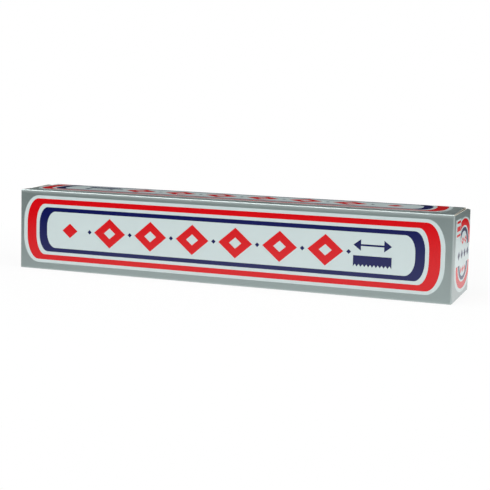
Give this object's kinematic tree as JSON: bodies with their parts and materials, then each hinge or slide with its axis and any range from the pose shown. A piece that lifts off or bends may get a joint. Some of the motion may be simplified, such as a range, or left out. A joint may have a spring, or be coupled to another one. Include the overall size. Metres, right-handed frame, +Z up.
{
  "type": "boxed aluminium foil roll",
  "caption": "Long printed card carton with a hinged lid, steel cutter edge and a roll of kitchen foil on a paper core inside.",
  "frame": {"origin": "centre of the base, on the surface that the carton stands on", "axes": "+X along the carton and the roll, +Y from the hinge wall to the lid's lip, +Z up"},
  "size_m": [0.3136, 0.0532, 0.0567],
  "materials": {
    "card": "glossy coated card, silver-grey ink",
    "blade": "bright rolled strip",
    "core": "raw spiral-wound paper",
    "foil": "bright rolled foil",
    "ink_white": "glossy white print",
    "ink_red": "glossy red print",
    "ink_navy": "glossy navy print",
    "ink_pale": "glossy pale grey print"
  },
  "bodies": {
    "carton": {"carton_tray": "card", "core_tube": "core", "foil_roll": "foil", "tray_print_white": "ink_white", "tray_print_red": "ink_red", "tray_print_navy": "ink_navy", "tray_print_pale": "ink_pale"},
    "lid": {"carton_lid": "card", "cutter_blade": "blade", "lid_print_white": "ink_white", "lid_print_red": "ink_red", "lid_print_navy": "ink_navy", "lid_print_pale": "ink_pale"}
  },
  "joints": [
    {"name": "lid_hinge", "type": "hinge", "parent": "carton", "child": "lid", "pos_m": [0, -0.02544, 0.05638], "axis": [1, 0, 0], "range_deg": [0, 180]}
  ]
}
